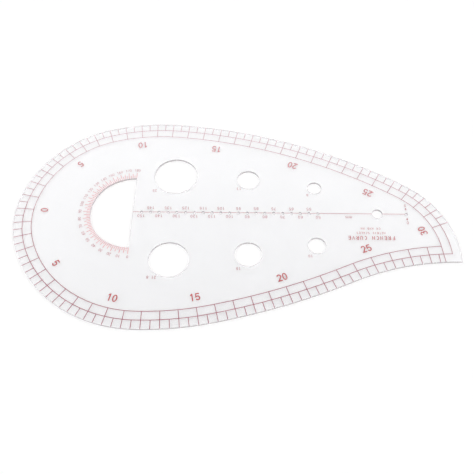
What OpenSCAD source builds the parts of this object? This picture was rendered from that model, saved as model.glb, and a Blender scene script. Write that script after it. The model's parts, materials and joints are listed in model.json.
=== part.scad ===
// Clear french curve with centimetre scales along both edges, a half-round protractor,
// a compass scale and six circle templates.
// The sheet lies on z = 0. The origin is the compass pivot hole, +X runs towards the tip.
// The printed scales are thin films on the top face, one node for each scale.

/* [Sheet] */
// Thickness of the sheet
sheet_t = 1.2; // [1:0.1:3]
// Place of the zero mark on the blunt end, along X
zero_x = -221.3; // [-222:0.1:-220]
// Place of the zero mark on the blunt end, along Y
zero_y = 1.8; // [1:0.1:3]
// Place of the pointed tip, along X
tip_x = 26.4; // [26:0.1:27]
// Place of the pointed tip, along Y
tip_y = -31.1; // [-32:0.1:-30]

/* [Lower edge] */
// Radius of the first arc from the zero mark; a fifth arc closes at the tip
lower_r1 = 59; // [58:0.5:60]
// Turn of the first arc in degrees
lower_turn1 = 23; // [22:0.5:24]
// Radius of the second arc
lower_r2 = 76; // [75:0.5:77]
// Turn of the second arc in degrees
lower_turn2 = 70; // [69:0.5:71]
// Radius of the third arc
lower_r3 = 170; // [165:1:175]
// Turn of the third arc in degrees
lower_turn3 = 13.5; // [13:0.5:14]
// Radius of the fourth arc
lower_r4 = 380; // [370:5:390]
// Turn of the fourth arc in degrees
lower_turn4 = 12; // [11.5:0.5:12.5]

/* [Upper edge] */
// Radius of the first arc from the zero mark; a fourth arc closes at the tip
upper_r1 = 68; // [67:0.5:69]
// Turn of the first arc in degrees
upper_turn1 = 70; // [69:0.5:71]
// Radius of the second arc
upper_r2 = 112; // [110:1:114]
// Turn of the second arc in degrees
upper_turn2 = 21; // [20:0.5:22]
// Radius of the third arc
upper_r3 = 290; // [285:5:295]
// Turn of the third arc in degrees
upper_turn3 = 28; // [27:0.5:29]

/* [Edge scales] */
// Distance between two marks along the edge
division = 5; // [5:0.1:5.1]
// Width of the two long lines and of the marks
line_w = 0.35; // [0.2:0.05:0.5]
// Height of the large numerals
numeral_h = 4.3; // [3:0.1:5]
// Distance from the edge to the middle of a large numeral
numeral_in = 16.1; // [14:0.1:17]

/* [Protractor] */
// Radius of the half-round opening
opening_r = 24; // [20:0.5:26]
// Width of the degree marks
degree_w = 0.25; // [0.1:0.05:0.4]
// Height of the degree numerals
degree_h = 1.7; // [1.4:0.1:2]

/* [Compass scale] */
// Diameter of the pencil holes and of the pivot hole
pencil_d = 1.5; // [1:0.1:2]
// Distance between two pencil holes
pencil_step = 5; // [4:0.5:5]
// Smallest radius that the compass draws
radius_min = 50; // [40:5:50]
// Number of pencil holes
pencil_count = 21; // [11:2:21]
// Height of the radius numerals
radius_h = 1.9; // [1.4:0.1:2]

/* [Circle templates] */
// Diameters of the three templates on the far side
far_d = [25, 13, 8]; // [5:0.1:25]
// Diameters of the three templates on the near side
near_d = [21.8, 15, 10]; // [5:0.1:25]
// Diameter of the hanging hole
hang_d = 6; // [4:0.5:8]

/* [Hidden] */
// Thickness of the ink film
ink_t = 0.05;
ink = [0.80, 0.16, 0.20];
clear = [0.90, 0.90, 0.93, 0.5];
// How far a cutter runs past both faces
past = 1;
// Points along each edge of the outline
edge_points = 150;
// Bare gap between the ink and an edge or a hole
bare = 0.1;
// Pen width as a part of a character's height, for the large numerals and for the small print
numeral_pen = 0.14;
fine_pen = 0.12;

// An arc is [radius, turn in degrees]; a positive turn goes left
LOWER_ARCS = [[lower_r1, lower_turn1], [lower_r2, lower_turn2],
              [lower_r3, lower_turn3], [lower_r4, lower_turn4]];
UPPER_ARCS = [[upper_r1, -upper_turn1], [upper_r2, -upper_turn2], [upper_r3, -upper_turn3]];
// A pose is [x, y, heading in degrees]
LOWER_START = [zero_x, zero_y, -94];
UPPER_START = [zero_x, zero_y, 86];
TIP = [tip_x, tip_y];

// The outer scale line lies half a centimetre inside the edge, the inner one a whole one
outer_in = division;
inner_in = 2 * division;

// Middles of the circle templates, far and near side
far_at = [[-132, 26], [-89.5, 23.6], [-51.2, 18]];
near_at = [[-132.5, -31.3], [-89.4, -27.6], [-51.7, -21.6]];
// Middles of the numerals beside them
far_label = [[-143.7, 15.2], [-94.9, 17], [-55.4, 12.9]];
near_label = [[-141, -42.6], [-94.7, -36.7], [-55.6, -28.4]];
template_label_h = 1.7;
hang_x = -16.5;
opening_x = -155;
// The degree marks stand every 2.5 degrees; lengths of the short, the 5 and the 10 degree ones
degree_step = 2.5;
degree_len = [2, 3.3, 4];
// Distance from the middle of the opening to the middle of a degree numeral
degree_numeral_r = opening_r + 6;
// Distances of the radius numerals from the centre line
tens_y = -2.7;
fives_y = 2.9;
compass_w = 0.3;

// ---- Path along the edge ----

function arc_length(a) = a[0] * abs(a[1]) * PI / 180;

// The pose after turning by the given angle on a given radius
function turned(p, r, turn) =
    let (k = r * sign(turn))
    [p[0] + k * (sin(p[2] + turn) - sin(p[2])),
     p[1] - k * (cos(p[2] + turn) - cos(p[2])),
     p[2] + turn];

function after(p, arcs, i = 0) =
    i == len(arcs) ? p : after(turned(p, arcs[i][0], arcs[i][1]), arcs, i + 1);

function wrapped(a) = a - 360 * floor((a + 180) / 360);

// The arc that leaves a pose smoothly and ends at a point
function closing_arc(p, end) =
    let (dx = end[0] - p[0], dy = end[1] - p[1], half = wrapped(atan2(dy, dx) - p[2]))
    [norm([dx, dy]) / (2 * abs(sin(half))), 2 * half];

function closed(start, arcs) = concat(arcs, [closing_arc(after(start, arcs), TIP)]);

function total(arcs, i = 0) = i == len(arcs) ? 0 : arc_length(arcs[i]) + total(arcs, i + 1);

// The pose at a distance along a run of arcs
function along(p, arcs, s, i = 0) =
    let (a = arcs[i], l = arc_length(a))
    s <= l || i == len(arcs) - 1
        ? turned(p, a[0], a[1] * s / l)
        : along(turned(p, a[0], a[1]), arcs, s - l, i + 1);

// A side is [start pose, arcs, 1 when the sheet lies to the left of the path and -1 to the right]
LOWER = [LOWER_START, closed(LOWER_START, LOWER_ARCS), 1];
UPPER = [UPPER_START, closed(UPPER_START, UPPER_ARCS), -1];
lower_end = total(LOWER[1]);
upper_end = total(UPPER[1]);

// The point a distance s along a side and a distance d inside its edge
function edge_point(side, s, d) =
    let (p = along(side[0], side[1], s))
    [p[0] - side[2] * d * sin(p[2]), p[1] + side[2] * d * cos(p[2])];

function edge_run(side, s0, s1, d, n) =
    [for (i = [0:n]) edge_point(side, s0 + (s1 - s0) * i / n, d)];

function reversed(list) = [for (i = [len(list) - 1:-1:0]) list[i]];

// Where a line d0 inside the first side meets a line d1 inside the second: the distance
// along the first side, halved down between lo and hi
function side_of(side, p) =
    let (last = len(side[1]) - 1,
         q = after(side[0], [for (i = [0:last - 1]) side[1][i]]),
         r = side[1][last][0],
         k = sign(side[1][last][1]),
         c = [q[0] - k * r * sin(q[2]), q[1] + k * r * cos(q[2])])
    (r - norm(p - c)) * k * side[2];
function meeting(side, d0, other, d1, lo, hi, n = 0) =
    let (mid = (lo + hi) / 2)
    n == 24 ? mid
    : side_of(other, edge_point(side, mid, d0)) > d1
        ? meeting(side, d0, other, d1, mid, hi, n + 1)
        : meeting(side, d0, other, d1, lo, mid, n + 1);

tip_reach = 25;
half_w = line_w / 2;
// At the tip the lower lines end on the upper ones, and the inner upper line goes on as a
// straight tail, over the lower outer line, to a foot on the lower edge
tail_foot = 9.1;
lower_outer_end = meeting(LOWER, outer_in, UPPER, outer_in - half_w, lower_end - tip_reach, lower_end);
lower_inner_end = meeting(LOWER, inner_in, UPPER, inner_in + half_w, lower_end - tip_reach, lower_end);
upper_outer_end = meeting(UPPER, outer_in, LOWER, outer_in + half_w, upper_end - tip_reach, upper_end);
upper_inner_end = meeting(UPPER, inner_in, LOWER, inner_in, upper_end - tip_reach, upper_end);
TAIL = [edge_point(UPPER, upper_inner_end, inner_in), edge_point(LOWER, lower_end - tail_foot, bare)];

// The point on the tail at a distance d from the lower edge
function tail_point(d) = TAIL[1] + (TAIL[0] - TAIL[1]) * (d - bare) / (inner_in - bare);

// ---- Printed strokes ----

module printed() {
    color(ink) translate([0, 0, sheet_t]) linear_extrude(ink_t) children();
}

// A thin strip along a side, from s0 to s1 and centred d inside the edge
module edge_line(side, s0, s1, d) {
    n = ceil((s1 - s0) / 2);
    polygon(concat(edge_run(side, s0, s1, d - half_w, n),
                   reversed(edge_run(side, s0, s1, d + half_w, n))));
}

// Puts children at a place on a side, with +Y pointing into the sheet
module on_edge(side, s) {
    p = along(side[0], side[1], s);
    translate([p[0], p[1]]) rotate(p[2] + (side[2] < 0 ? 180 : 0)) children();
}

module bar(x0, y0, x1, y1) {
    translate([x0, y0]) square([x1 - x0, y1 - y0]);
}

// A half-centimetre mark ends at the outer line; a centimetre mark goes on to the inner one
module half_mark() {
    bar(-half_w, bare, half_w, outer_in - half_w);
}
module centimetre_mark() {
    half_mark();
    bar(-half_w, outer_in + half_w, half_w, inner_in - half_w);
}

// ---- Numerals and letters, drawn as pen strokes in a box 1 high and 0.6 wide ----

glyph_w = 0.6;

function unit(v) = v / norm(v);
function left_of(v) = [-v[1], v[0]];

// Half the pen's width to the left of point i, mitred where the stroke bends
function pen_side(path, i, m) =
    let (a = unit(path[max(i, 1)] - path[max(i, 1) - 1]),
         j = min(i, len(path) - 2),
         b = unit(path[j + 1] - path[j]),
         n = unit(left_of(a) + left_of(b)))
    n * m / max(0.55, n * left_of(a));

module stroke(path, w) {
    polygon(concat([for (i = [0:len(path) - 1]) path[i] + pen_side(path, i, w / 2)],
                   reversed([for (i = [0:len(path) - 1]) path[i] - pen_side(path, i, w / 2)])));
}

// Points on an ellipse from angle a0 to a1
function bow(c, r, a0, a1, n = 8) =
    [for (i = [0:n]) let (a = a0 + (a1 - a0) * i / n) c + [r[0] * cos(a), r[1] * sin(a)]];

module loop(c, r, w, n = 18) {
    outside = [for (i = [0:n - 1]) c + [(r[0] + w / 2) * cos(i * 360 / n), (r[1] + w / 2) * sin(i * 360 / n)]];
    inside = [for (i = [0:n - 1]) c + [(r[0] - w / 2) * cos(i * 360 / n), (r[1] - w / 2) * sin(i * 360 / n)]];
    polygon(concat(outside, inside), [[for (i = [0:n - 1]) i], [for (i = [0:n - 1]) n + i]]);
}

module six(w) {
    m = w / 2;
    loop([0.3, 0.33], [0.3 - m, 0.33 - m], w);
    stroke(bow([0.42, 0.36], [0.4 - m, 0.64 - m], 80, 176), w);
}

module digit(d, w) {
    m = w / 2;
    l = m;
    r = glyph_w - m;
    b = m;
    t = 1 - m;
    c = glyph_w / 2;
    wide = c - m;
    if (d == "0") loop([c, 0.5], [wide, 0.5 - m], w);
    if (d == "1") {
        stroke([[c + 0.04, 0], [c + 0.04, 1]], w);
        stroke([[c - 0.18, 0.76], [c + 0.04, t]], w);
    }
    if (d == "2") {
        stroke(concat(bow([c, t - wide], [wide, wide], 165, -30), [[l + 0.07, b + 0.02]]), w);
        bar(0, 0, glyph_w, w);
    }
    if (d == "3") {
        stroke(bow([c, 0.76 - m / 2], [wide - 0.02, 0.24 - m / 2], 155, -95), w);
        stroke(bow([c, 0.27 + m / 2], [wide, 0.27 - m / 2], 100, -155), w);
    }
    if (d == "4") {
        stroke([[r - 0.1, t], [l, 0.3], [glyph_w, 0.3]], w);
        bar(r - 0.1 - m, 0, r - 0.1 + m, 1);
    }
    if (d == "5") {
        stroke(concat([[r, t], [l + 0.06, t], [l + 0.01, 0.5]],
                      bow([c, 0.33], [wide, 0.33 - m], 120, -155)), w);
    }
    if (d == "6") six(w);
    if (d == "7") stroke([[0, t], [r, t], [l + 0.17, 0]], w);
    if (d == "8") {
        loop([c, 0.76 - m / 2], [wide - 0.03, 0.24 - m / 2], w);
        loop([c, 0.27 + m / 2], [wide, 0.27 - m / 2], w);
    }
    if (d == "9") translate([glyph_w, 1]) rotate(180) six(w);
    if (d == ".") bar(c - m, 0, c + m, w);
}

// The strokes of the capitals that the title needs
function letter_strokes(d) =
    d == "A" ? [[[0.04, 0], [0.3, 0.97], [0.56, 0]], [[0.12, 0.3], [0.48, 0.3]]]
    : d == "C" ? [bow([0.3, 0.5], [0.25, 0.44], 50, 310)]
    : d == "D" ? [[[0.07, 0], [0.07, 1]],
                  concat([[0.1, 0.94]], bow([0.22, 0.5], [0.32, 0.44], 90, -90), [[0.1, 0.06]])]
    : d == "E" ? [[[0.56, 0.94], [0.07, 0.94], [0.07, 0.06], [0.56, 0.06]], [[0.07, 0.5], [0.5, 0.5]]]
    : d == "F" ? [[[0.56, 0.94], [0.07, 0.94], [0.07, 0]], [[0.07, 0.5], [0.5, 0.5]]]
    : d == "H" ? [[[0.07, 0], [0.07, 1]], [[0.53, 0], [0.53, 1]], [[0.07, 0.5], [0.53, 0.5]]]
    : d == "I" ? [[[0.3, 0], [0.3, 1]]]
    : d == "L" ? [[[0.1, 1], [0.1, 0.06], [0.56, 0.06]]]
    : d == "M" ? [[[0.06, 0], [0.06, 0.94], [0.3, 0.4], [0.54, 0.94], [0.54, 0]]]
    : d == "N" ? [[[0.07, 0], [0.07, 0.94], [0.53, 0.06], [0.53, 1]]]
    : d == "R" ? [[[0.07, 0], [0.07, 1]],
                  concat([[0.1, 0.94]], bow([0.3, 0.72], [0.22, 0.22], 90, -90, 6), [[0.1, 0.5]]),
                  [[0.28, 0.5], [0.54, 0]]]
    : d == "S" ? [concat(bow([0.3, 0.73], [0.23, 0.21], 30, 250), bow([0.3, 0.28], [0.23, 0.22], 70, -150))]
    : d == "T" ? [[[0.02, 0.94], [0.58, 0.94]], [[0.3, 0.94], [0.3, 0]]]
    : d == "U" ? [concat([[0.07, 1]], bow([0.3, 0.3], [0.23, 0.24], 180, 360), [[0.53, 1]])]
    : d == "V" ? [[[0.04, 1], [0.3, 0.04], [0.56, 1]]]
    : [];

// A row of characters, centred on the origin, with height h and pen width w as a part of h
module label(chars, h, w, gap = 0.2) {
    pitch = glyph_w + gap;
    start = -(len(chars) * pitch - gap) / 2;
    scale(h) for (i = [0:len(chars) - 1]) translate([start + i * pitch, -0.5]) {
        digit(chars[i], w);
        for (path = letter_strokes(chars[i])) stroke(path, w);
    }
}

// ---- Parts ----

module round_hole(at, d) {
    translate([at[0], at[1], -past]) cylinder(h = sheet_t + 2 * past, d = d, $fn = 96);
}

// The half-round protractor opening, flat on the side of the compass scale
module protractor_opening() {
    translate([opening_x, 0, -past]) intersection() {
        cylinder(h = sheet_t + 2 * past, r = opening_r, $fn = 180);
        translate([-2 * opening_r, -opening_r, 0]) cube([2 * opening_r, 2 * opening_r, sheet_t + 2 * past]);
    }
}

function pencil_x(i) = -radius_min - i * pencil_step;

module sheet() {
    color(clear) difference() {
        linear_extrude(sheet_t) polygon(concat(
            edge_run(LOWER, 0, lower_end, 0, edge_points),
            [for (i = [edge_points - 1:-1:1]) edge_point(UPPER, upper_end * i / edge_points, 0)]));
        protractor_opening();
        for (i = [0:2]) {
            round_hole(far_at[i], far_d[i]);
            round_hole(near_at[i], near_d[i]);
        }
        round_hole([hang_x, 0], hang_d);
        round_hole([0, 0], pencil_d);
        for (i = [0:pencil_count - 1]) round_hole([pencil_x(i), 0], pencil_d);
    }
}

module lower_outer_line() {
    printed() edge_line(LOWER, half_w, lower_outer_end, outer_in);
}
module lower_inner_line() {
    printed() edge_line(LOWER, half_w, lower_inner_end, inner_in);
}
module upper_outer_line() {
    printed() edge_line(UPPER, half_w, upper_outer_end, outer_in);
}
module upper_inner_line() {
    printed() {
        edge_line(UPPER, half_w, upper_inner_end, inner_in);
        stroke([TAIL[0], tail_point(outer_in + half_w)], line_w);
        stroke([tail_point(outer_in - half_w), TAIL[1]], line_w);
    }
}

lower_last = 28;
upper_last = 30;

module lower_centimetre_marks() {
    printed() for (i = [1:lower_last]) on_edge(LOWER, 2 * i * division) centimetre_mark();
}
module lower_half_marks() {
    printed() for (i = [0:lower_last]) on_edge(LOWER, (2 * i + 1) * division) half_mark();
}
module upper_centimetre_marks() {
    printed() for (i = [1:upper_last]) on_edge(UPPER, 2 * i * division) centimetre_mark();
}
module upper_half_marks() {
    printed() for (i = [0:upper_last - 1]) on_edge(UPPER, (2 * i + 1) * division) half_mark();
}
// The zero mark crosses both lines, which start on either side of it
module zero_mark() {
    printed() on_edge(LOWER, 0) bar(-half_w, bare, half_w, inner_in + half_w);
}

module lower_numerals() {
    printed() for (i = [5:5:25])
        on_edge(LOWER, 2 * i * division) translate([0, numeral_in]) label(str(i), numeral_h, numeral_pen, 0.1);
}
module upper_numerals() {
    printed() for (i = [5:5:30])
        on_edge(UPPER, 2 * i * division) translate([0, numeral_in]) label(str(i), numeral_h, numeral_pen, 0.1);
}
module zero_numeral() {
    printed() on_edge(LOWER, 0) translate([0, numeral_in]) label("0", numeral_h, numeral_pen);
}

// Degree a lies on the opening's edge, counted clockwise from the near end
module at_degree(a, r) {
    translate([opening_x, 0]) rotate(-90 - a) translate([r, 0]) rotate(-90) children();
}
module degree_mark(a, length) {
    at_degree(a, opening_r + bare) bar(-degree_w / 2, 0, degree_w / 2, length);
}
module degree_marks() {
    printed() for (a = [degree_step:5:180]) degree_mark(a, degree_len[0]);
}
module five_degree_marks() {
    printed() for (a = [5:10:175]) degree_mark(a, degree_len[1]);
}
module ten_degree_marks() {
    printed() for (a = [0:10:180]) degree_mark(a, degree_len[2]);
}
module degree_numerals() {
    printed() for (a = [0:10:180]) at_degree(a, degree_numeral_r) label(str(a), degree_h, fine_pen, 0.12);
}

// The centre line is broken at every hole on it
module compass_line() {
    clear_r = pencil_d / 2 + bare;
    hang_r = hang_d / 2 + bare;
    last_x = pencil_x(pencil_count - 1);
    h = compass_w / 2;
    printed() {
        bar(opening_x + bare, -h, last_x - clear_r, h);
        for (i = [1:pencil_count - 1]) bar(pencil_x(i) + clear_r, -h, pencil_x(i - 1) - clear_r, h);
        bar(-radius_min + clear_r, -h, hang_x - hang_r, h);
        bar(hang_x + hang_r, -h, -clear_r, h);
    }
}

// The compass scale is read from the far side, so its characters stand the other way up
module radius_numeral(i, y) {
    translate([pencil_x(i), y]) rotate(180) label(str(radius_min + i * pencil_step), radius_h, fine_pen);
}
module tens_numerals() {
    printed() for (i = [0:2:pencil_count - 1]) radius_numeral(i, tens_y);
}
module fives_numerals() {
    printed() for (i = [1:2:pencil_count - 1]) radius_numeral(i, fives_y);
}

// The unit mark, two small letters m
module small_m(w) {
    m = w / 2;
    bar(0, 0, w, 0.7);
    stroke(concat([[0.42, 0]], bow([0.245, 0.5], [0.175, 0.2 - m], 0, 170, 6)), w);
    stroke(concat([[0.77, 0]], bow([0.595, 0.5], [0.175, 0.2 - m], 0, 170, 6)), w);
}
unit_x = -32.8;
module unit_mark() {
    printed() translate([unit_x, -2.3]) rotate(180) scale(radius_h) for (x = [-0.95, 0.1])
        translate([x, -0.35]) small_m(fine_pen);
}

// Two diamonds and two noughts point at the pivot hole
diamond = [0.55, 0.9];
module pivot_marks() {
    printed() for (k = [-1, 1]) {
        translate([0, 3.5 * k])
            polygon([[-diamond[0], 0], [0, -diamond[1]], [diamond[0], 0], [0, diamond[1]]]);
        translate([0, 5.9 * k]) rotate(180) label("0", radius_h, fine_pen);
    }
}

// Each circle template has its diameter printed beside it
module template_numeral(at, d) {
    translate([at[0], at[1]]) rotate(180) label(str(d), template_label_h, fine_pen);
}
module template_numerals() {
    printed() for (i = [0:2]) {
        template_numeral(far_label[i], far_d[i]);
        template_numeral(near_label[i], near_d[i]);
    }
}

// Three lines of plain wording near the tip
title_at = [-21.3, -13];
module title_block() {
    printed() translate(title_at) rotate(180) {
        translate([0, 3.3]) label("FRENCH CURVE", 2.4, numeral_pen, 0.32);
        translate([0, 0]) label("METRIC SCALES", 1.4, fine_pen, 0.3);
        translate([0, -2.9]) label("CM AND MM", 1.4, fine_pen, 0.3);
    }
}

sheet();
lower_outer_line();
lower_inner_line();
upper_outer_line();
upper_inner_line();
lower_centimetre_marks();
lower_half_marks();
upper_centimetre_marks();
upper_half_marks();
zero_mark();
lower_numerals();
upper_numerals();
zero_numeral();
degree_marks();
five_degree_marks();
ten_degree_marks();
degree_numerals();
compass_line();
tens_numerals();
fives_numerals();
unit_mark();
pivot_marks();
template_numerals();
title_block();
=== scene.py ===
import json
import math

import bmesh
import bpy
from mathutils import Matrix, Vector


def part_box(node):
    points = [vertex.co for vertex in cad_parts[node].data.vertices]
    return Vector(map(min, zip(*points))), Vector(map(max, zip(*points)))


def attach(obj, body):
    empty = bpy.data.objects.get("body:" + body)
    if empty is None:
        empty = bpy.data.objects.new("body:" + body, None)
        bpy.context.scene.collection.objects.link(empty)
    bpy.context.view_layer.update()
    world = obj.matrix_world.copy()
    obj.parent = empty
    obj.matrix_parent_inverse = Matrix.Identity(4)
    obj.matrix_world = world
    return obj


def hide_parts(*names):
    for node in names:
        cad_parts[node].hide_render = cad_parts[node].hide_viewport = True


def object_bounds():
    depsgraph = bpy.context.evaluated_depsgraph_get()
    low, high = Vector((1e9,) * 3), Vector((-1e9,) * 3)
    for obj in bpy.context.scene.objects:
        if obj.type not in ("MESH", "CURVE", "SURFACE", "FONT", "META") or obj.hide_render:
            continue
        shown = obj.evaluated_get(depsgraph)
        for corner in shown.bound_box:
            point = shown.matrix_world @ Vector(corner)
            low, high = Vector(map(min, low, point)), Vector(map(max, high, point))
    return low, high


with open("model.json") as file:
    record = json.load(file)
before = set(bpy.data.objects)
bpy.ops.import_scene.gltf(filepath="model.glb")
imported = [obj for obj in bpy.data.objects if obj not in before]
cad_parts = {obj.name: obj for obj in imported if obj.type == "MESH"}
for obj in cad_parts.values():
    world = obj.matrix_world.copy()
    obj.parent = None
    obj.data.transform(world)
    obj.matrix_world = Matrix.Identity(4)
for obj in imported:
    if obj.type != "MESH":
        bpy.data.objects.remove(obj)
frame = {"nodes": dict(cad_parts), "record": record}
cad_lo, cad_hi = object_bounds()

MM = 0.001
PLASTIC_IOR = 1.49
CORNER = math.radians(30)

# ---- Node trees ----


class Tree:
    """Short names for building one material's node tree."""

    def __init__(self, name):
        self.material = bpy.data.materials.new(name)
        self.material.use_nodes = True
        self.nodes = self.material.node_tree.nodes
        self.links = self.material.node_tree.links
        self.shader = self.nodes["Principled BSDF"]
        self.place = self.nodes.new("ShaderNodeTexCoord").outputs["Object"]

    def add(self, kind, **inputs):
        node = self.nodes.new(kind)
        for socket, value in inputs.items():
            self.put(node, socket.replace("_", " "), value)
        return node

    def put(self, node, socket, value):
        if isinstance(value, bpy.types.NodeSocket):
            self.links.new(value, node.inputs[socket])
        else:
            node.inputs[socket].default_value = value

    def stretched(self, scale, turn=0.0):
        """Object coordinates times scale along each axis, after a turn about Z."""
        node = self.add("ShaderNodeMapping", Vector=self.place)
        node.inputs["Scale"].default_value = scale
        node.inputs["Rotation"].default_value = (0.0, 0.0, turn)
        return node.outputs["Vector"]

    def noise(self, scale, detail=2.0, vector=None):
        return self.add("ShaderNodeTexNoise", Scale=scale, Detail=detail,
                        Vector=vector or self.place).outputs["Fac"]

    def remap(self, value, low, high, to_low, to_high):
        node = self.add("ShaderNodeMapRange", Value=value)
        node.inputs["From Min"].default_value = low
        node.inputs["From Max"].default_value = high
        node.inputs["To Min"].default_value = to_low
        node.inputs["To Max"].default_value = to_high
        return node.outputs["Result"]

    def math(self, operation, a, b=0.0):
        node = self.nodes.new("ShaderNodeMath")
        node.operation = operation
        self.put(node, 0, a)
        self.put(node, 1, b)
        return node.outputs["Value"]

    def bump(self, height, distance, strength=1.0):
        node = self.add("ShaderNodeBump", Height=height, Distance=distance, Strength=strength)
        return node.outputs["Normal"]

    def between(self, fraction, first, second):
        node = self.nodes.new("ShaderNodeMix")
        node.data_type = "RGBA"
        self.put(node, "Factor", fraction)
        self.put(node, 6, (*first, 1.0))
        self.put(node, 7, (*second, 1.0))
        return node.outputs[2]


# ---- Materials ----


def scratches(tree):
    """Sparse hairline scratches in three directions, 1 on a scratch and 0 beside it."""
    deepest = None
    for turn, along, across in ((0.35, 30.0, 2600.0), (1.6, 24.0, 2100.0), (2.5, 38.0, 3100.0)):
        lines = tree.noise(1.0, 1.0, tree.stretched((along, across, 1.0), turn))
        hair = tree.remap(lines, 0.70, 0.78, 0.0, 1.0)
        deepest = hair if deepest is None else tree.math("MAXIMUM", deepest, hair)
    return deepest


def clear_plastic():
    """The level faces of the sheet: glossy, faintly hazy, with handling marks."""
    t = Tree("clear_plastic")
    t.put(t.shader, "Base Color", (0.992, 0.992, 1.0, 1.0))
    t.put(t.shader, "Transmission Weight", 1.0)
    t.put(t.shader, "IOR", PLASTIC_IOR)
    haze = t.remap(t.noise(38.0, 4.0), 0.35, 0.75, 0.012, 0.05)
    t.put(t.shader, "Roughness", t.math("ADD", haze, t.math("MULTIPLY", scratches(t), 0.12)))
    t.put(t.shader, "Normal", t.bump(scratches(t), 0.4e-6, 0.5))
    return t.material


def cut_edge():
    """The walls of the outline and of the holes: half clear, with the cutter's fine upright marks."""
    t = Tree("cut_edge")
    t.put(t.shader, "Base Color", (0.92, 0.88, 0.90, 1.0))
    t.put(t.shader, "Transmission Weight", 0.62)
    t.put(t.shader, "IOR", PLASTIC_IOR)
    marks = t.noise(1.0, 2.0, t.stretched((2600.0, 2600.0, 60.0)))
    t.put(t.shader, "Roughness", t.remap(marks, 0.3, 0.7, 0.12, 0.3))
    t.put(t.shader, "Normal", t.bump(marks, 4e-6, 0.6))
    return t.material


def printed_ink_with_painted_fade(name, near, far):
    """Screen-printed ink, uneven, with fine grain, going from colour near to colour far across the
    sheet; the paler far colour is a painted lighting falloff towards +Y.
    """
    t = Tree(name)
    axes = t.add("ShaderNodeSeparateXYZ", Vector=t.place)
    # Painted light: the ink is painted paler towards +Y, standing in for light falling differently
    # across the sheet
    painted_light_fade = t.remap(axes.outputs["Y"], -0.05, 0.06, 0.0, 1.0)
    blotch = t.remap(t.noise(420.0, 3.0), 0.30, 0.70, -0.12, 0.12)
    t.put(t.shader, "Base Color", t.between(t.math("ADD", painted_light_fade, blotch), near, far))
    grain = t.noise(5200.0, 1.0)
    t.put(t.shader, "Roughness", t.remap(grain, 0.3, 0.7, 0.42, 0.6))
    t.put(t.shader, "Normal", t.bump(grain, 4e-6, 0.5))
    return t.material


def paper():
    """Matt white paper for the floor."""
    t = Tree("white_paper")
    t.put(t.shader, "Base Color", (0.97, 0.97, 0.97, 1.0))
    t.put(t.shader, "Roughness", 0.9)
    t.put(t.shader, "Specular IOR Level", 0.0)
    return t.material


# ---- The sheet ----


def rim_loops(node):
    """The closed rims of a flat node's top face, as lists of 2D points in order."""
    bm = bmesh.new()
    bm.from_mesh(node.data)
    bmesh.ops.remove_doubles(bm, verts=bm.verts, dist=1e-6)
    top = max(v.co.z for v in bm.verts)
    on_top = [f for f in bm.faces if all(abs(v.co.z - top) < 1e-6 for v in f.verts)]
    rim = {}
    for face in on_top:
        for corner in face.loops:
            others = [f for f in corner.edge.link_faces if f is not face]
            if not all(f in on_top for f in others) or not others:
                rim[corner.vert] = corner.link_loop_next.vert
    loops = []
    while rim:
        start, v = next(iter(rim.items()))
        del rim[start]
        loop = [start.co.xy.copy()]
        while v is not start:
            loop.append(v.co.xy.copy())
            v = rim.pop(v)
        loops.append(loop)
    bm.free()
    return loops


def refined(loop, step):
    """The same rim with extra points along its round stretches, about step apart there.

    Each stretch is a cubic through its two ends, tangent to the rim's direction at each.
    """
    n = len(loop)
    edges = [loop[(i + 1) % n] - loop[i] for i in range(n)]
    corner = [abs(edges[i - 1].angle_signed(edges[i])) > CORNER for i in range(n)]

    def tangent(i, out):
        if corner[i]:
            return edges[i].normalized() if out else edges[i - 1].normalized()
        return (edges[i - 1].normalized() + edges[i].normalized()).normalized()

    points = []
    for i in range(n):
        a, b, d = loop[i], loop[(i + 1) % n], edges[i].length
        ta, tb = tangent(i, True) * d, tangent((i + 1) % n, False) * d
        parts = max(1, math.ceil(d / step)) if not (corner[i] and corner[(i + 1) % n]) else 1
        for k in range(parts):
            u = k / parts
            points.append(a * (2 * u**3 - 3 * u**2 + 1) + ta * (u**3 - 2 * u**2 + u)
                          + b * (3 * u**2 - 2 * u**3) + tb * (u**3 - u**2))
    return points


def rim_step(loop):
    """A step that suits the rim's size: fine on a pencil hole, coarser on the outline."""
    across = max((p - loop[0]).length for p in loop)
    return min(0.8 * MM, max(0.08 * MM, across / 24))


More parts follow.
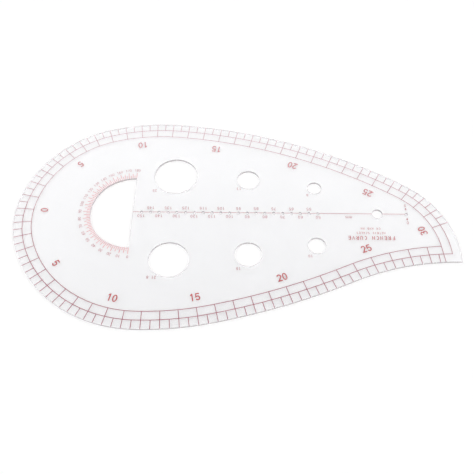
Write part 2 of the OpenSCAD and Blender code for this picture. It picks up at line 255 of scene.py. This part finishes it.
def sheet_piece(edge_round):
    """The sheet with smooth rims and a small round along each edge, inside the CAD sheet's box."""
    lo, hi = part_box("sheet")
    bm = bmesh.new()
    for loop in rim_loops(frame["nodes"]["sheet"]):
        verts = [bm.verts.new((min(max(p.x, lo.x), hi.x), min(max(p.y, lo.y), hi.y), lo.z))
                 for p in refined(loop, rim_step(loop))]
        for a, b in zip(verts, verts[1:] + verts[:1]):
            bm.edges.new((a, b))
    bmesh.ops.triangle_fill(bm, edges=bm.edges[:], use_beauty=True, normal=(0, 0, -1))
    bottom = bm.faces[:]
    raised = bmesh.ops.extrude_face_region(bm, geom=bottom, use_keep_orig=True)["geom"]
    for v in (g for g in raised if isinstance(g, bmesh.types.BMVert)):
        v.co.z = hi.z
    bmesh.ops.recalc_face_normals(bm, faces=bm.faces)
    rims = [e for e in bm.edges if len(e.link_faces) == 2 and e.calc_face_angle() > math.radians(60)
            and abs(e.verts[0].co.z - e.verts[1].co.z) < 1e-7]
    bmesh.ops.bevel(bm, geom=rims, offset=edge_round, segments=3, profile=0.5, affect="EDGES",
                    clamp_overlap=True)
    for face in bm.faces:
        heights = [v.co.z for v in face.verts]
        face.material_index = 0 if max(heights) - min(heights) < 1e-7 else 1
    mesh = bpy.data.meshes.new("clear_sheet")
    bm.to_mesh(mesh)
    bm.free()
    # The call smooths every face, and the level ones have to stay flat
    mesh.set_sharp_from_angle(angle=math.radians(40))
    mesh.polygons.foreach_set("use_smooth", [p.material_index == 1 for p in mesh.polygons])
    mesh.materials.append(clear_plastic())
    mesh.materials.append(cut_edge())
    piece = bpy.data.objects.new("clear_sheet", mesh)
    bpy.context.scene.collection.objects.link(piece)
    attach(piece, "root")
    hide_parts("sheet")
    # A clear sheet hardly darkens the paper under it
    piece.visible_shadow = False


# ---- The printed scales ----

# Each ink's far colour is its near colour painted paler, a painted lighting falloff towards +Y
INKS = {
    "scale_line_ink": printed_ink_with_painted_fade("scale_line_ink", (0.34, 0.055, 0.10), (0.66, 0.47, 0.51)),
    "numeral_ink": printed_ink_with_painted_fade("numeral_ink", (0.48, 0.055, 0.060), (0.64, 0.30, 0.32)),
    "fine_ink": printed_ink_with_painted_fade("fine_ink", (0.45, 0.13, 0.16), (0.68, 0.46, 0.48)),
}
DEGREE_INK = printed_ink_with_painted_fade("degree_ink", (0.74, 0.16, 0.18), (0.82, 0.44, 0.46))
DEGREE_MARKS = ("degree_marks", "five_degree_marks", "ten_degree_marks")


def dress_prints():
    """Gives every printed film its ink."""
    for row in frame["record"]["subparts"]:
        if row["material_slot"] in INKS:
            film = frame["nodes"][row["node"]]
            film.data.materials.clear()
            degree = row["node"] in DEGREE_MARKS
            film.data.materials.append(DEGREE_INK if degree else INKS[row["material_slot"]])
            film.visible_shadow = False


# ---- Stage, light and camera ----


def floor(z):
    """A square of paper at height z, wide enough to fill the view."""
    half = 1.5
    mesh = bpy.data.meshes.new("floor")
    mesh.from_pydata([(-half, -half, z), (half, -half, z), (half, half, z), (-half, half, z)],
                     [], [(0, 1, 2, 3)])
    mesh.materials.append(paper())
    stage = bpy.data.objects.new("floor", mesh)
    bpy.context.scene.collection.objects.link(stage)


def sky(side, top):
    """A white tent, as bright as side all round and as bright as top overhead, fading between."""
    world = bpy.data.worlds.new("white_tent")
    world.use_nodes = True
    nodes, links = world.node_tree.nodes, world.node_tree.links
    axes = nodes.new("ShaderNodeSeparateXYZ")
    links.new(nodes.new("ShaderNodeTexCoord").outputs["Generated"], axes.inputs["Vector"])
    fade = nodes.new("ShaderNodeMapRange")
    fade.interpolation_type = "SMOOTHSTEP"
    links.new(axes.outputs["Z"], fade.inputs["Value"])
    fade.inputs["From Min"].default_value = 0.72
    fade.inputs["From Max"].default_value = 0.93
    fade.inputs["To Min"].default_value = side
    fade.inputs["To Max"].default_value = top
    nodes["Background"].inputs["Color"].default_value = (1.0, 1.0, 1.0, 1.0)
    links.new(fade.outputs["Result"], nodes["Background"].inputs["Strength"])
    bpy.context.scene.world = world


def camera():
    """Looks down at 57 degrees, square to the sheet's long side."""
    data = bpy.data.cameras.new("camera")
    data.sensor_width = 36.0
    data.lens = 49.75
    data.clip_start = 0.01
    cam = bpy.data.objects.new("camera", data)
    right = Vector((0.99994, 0.01128, 0.0))
    up = Vector((-0.00943, 0.83586, 0.54886))
    back = right.cross(up)
    turn = Matrix((right, up, back)).transposed()
    cam.matrix_world = Matrix.Translation((-0.0934, -0.2152, 0.3026 + cad_hi.z)) @ turn.to_4x4()
    bpy.context.scene.collection.objects.link(cam)
    bpy.context.scene.camera = cam


sheet_piece(edge_round=0.1 * MM)
dress_prints()
floor(cad_lo.z - 0.02 * MM)
sky(side=1.48, top=0.1)
camera()
bpy.context.scene.view_settings.view_transform = "Standard"
